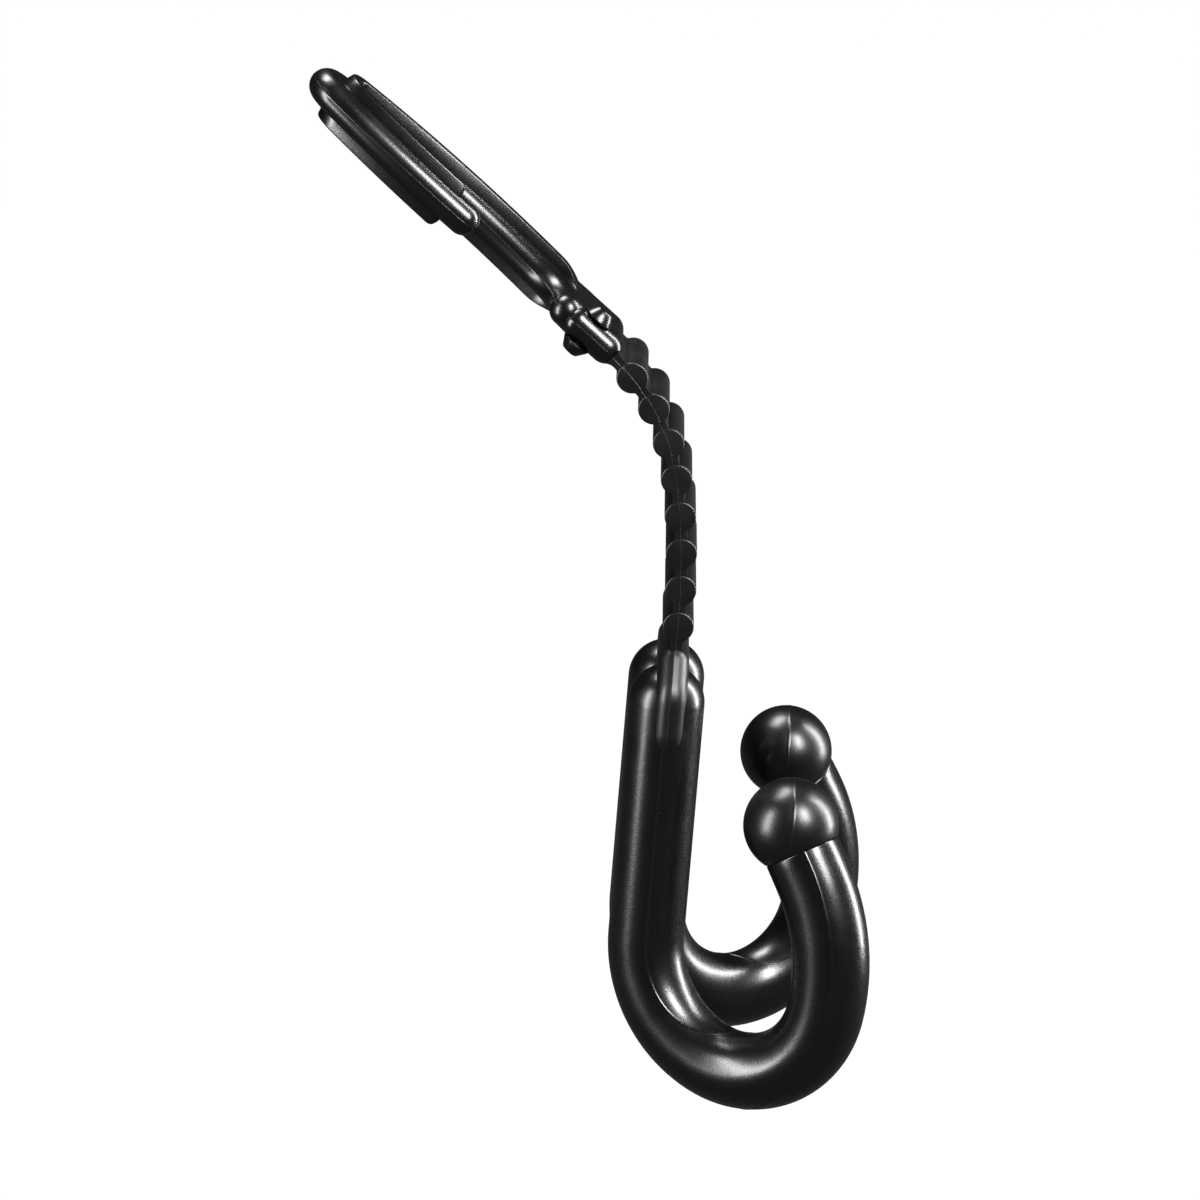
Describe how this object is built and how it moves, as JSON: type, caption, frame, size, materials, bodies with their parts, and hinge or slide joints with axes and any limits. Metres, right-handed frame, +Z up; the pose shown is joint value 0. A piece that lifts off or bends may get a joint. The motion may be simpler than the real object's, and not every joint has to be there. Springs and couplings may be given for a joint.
{
  "type": "hanging strap with snap hook and twin hook",
  "caption": "Moulded plastic hanging strap: open oval snap hook, base block with a stud, ribbed flexible strap, fan-shaped root and two splayed J-hooks with ball ends.",
  "frame": {"origin": "seat of the top hook: the middle of the rib's inner face at the top of the oval, where the part hangs", "axes": "+Z up, the long way of the part; +X the way the twin hooks open; +Y across the strap, away from the top hook's mouth"},
  "size_m": [0.1451, 0.1024, 0.2708],
  "materials": {
    "hook_plastic": "fine-grained moulded nylon, satin",
    "strap_rubber": "ribbed thermoplastic elastomer, satin",
    "arm_plastic": "fine-grained soft-touch moulding, semi-gloss",
    "ball_plastic": "fine-grained moulding, semi-gloss"
  },
  "bodies": {
    "hanger": {"hook_frame": "hook_plastic", "hook_base": "hook_plastic", "base_stud": "hook_plastic", "web_1": "strap_rubber"},
    "link_1": {"rung_1": "strap_rubber", "web_2": "strap_rubber"},
    "link_2": {"rung_2": "strap_rubber", "web_3": "strap_rubber"},
    "link_3": {"rung_3": "strap_rubber", "web_4": "strap_rubber"},
    "link_4": {"rung_4": "strap_rubber", "web_5": "strap_rubber"},
    "link_5": {"rung_5": "strap_rubber", "web_6": "strap_rubber"},
    "link_6": {"rung_6": "strap_rubber", "web_7": "strap_rubber"},
    "link_7": {"rung_7": "strap_rubber", "web_8": "strap_rubber"},
    "link_8": {"rung_8": "strap_rubber", "web_9": "strap_rubber"},
    "twin_hook": {"strap_root": "strap_rubber", "arm_near": "arm_plastic", "arm_far": "arm_plastic", "ball_near": "ball_plastic", "ball_far": "ball_plastic"}
  },
  "joints": [
    {"name": "web_1_flex", "type": "hinge", "parent": "hanger", "child": "link_1", "pos_m": [0.0706, 0, -0.0654], "axis": [0, 1, 0], "range_deg": [-15, 15], "stiffness_Nm_per_rad": 1.5, "springref_deg": -1.69},
    {"name": "web_2_flex", "type": "hinge", "parent": "link_1", "child": "link_2", "pos_m": [0.07678, 0, -0.0731], "axis": [0, 1, 0], "range_deg": [-15, 15], "stiffness_Nm_per_rad": 1.5, "springref_deg": -1.31},
    {"name": "web_3_flex", "type": "hinge", "parent": "link_2", "child": "link_3", "pos_m": [0.08148, 0, -0.08175], "axis": [0, 1, 0], "range_deg": [-15, 15], "stiffness_Nm_per_rad": 1.5, "springref_deg": -1.03},
    {"name": "web_4_flex", "type": "hinge", "parent": "link_3", "child": "link_4", "pos_m": [0.08444, 0, -0.09116], "axis": [0, 1, 0], "range_deg": [-15, 15], "stiffness_Nm_per_rad": 1.5, "springref_deg": -0.85},
    {"name": "web_5_flex", "type": "hinge", "parent": "link_4", "child": "link_5", "pos_m": [0.08599, 0, -0.10092], "axis": [0, 1, 0], "range_deg": [-15, 15], "stiffness_Nm_per_rad": 1.5, "springref_deg": -0.76},
    {"name": "web_6_flex", "type": "hinge", "parent": "link_5", "child": "link_6", "pos_m": [0.08664, 0, -0.11079], "axis": [0, 1, 0], "range_deg": [-15, 15], "stiffness_Nm_per_rad": 1.5, "springref_deg": -0.72},
    {"name": "web_7_flex", "type": "hinge", "parent": "link_6", "child": "link_7", "pos_m": [0.08673, 0, -0.12069], "axis": [0, 1, 0], "range_deg": [-15, 15], "stiffness_Nm_per_rad": 1.5, "springref_deg": -0.71},
    {"name": "web_8_flex", "type": "hinge", "parent": "link_7", "child": "link_8", "pos_m": [0.08636, 0, -0.13058], "axis": [0, 1, 0], "range_deg": [-15, 15], "stiffness_Nm_per_rad": 1.5, "springref_deg": -0.73},
    {"name": "web_9_flex", "type": "hinge", "parent": "link_8", "child": "twin_hook", "pos_m": [0.08563, 0, -0.14045], "axis": [0, 1, 0], "range_deg": [-15, 15], "stiffness_Nm_per_rad": 1.5, "springref_deg": -0.77}
  ]
}
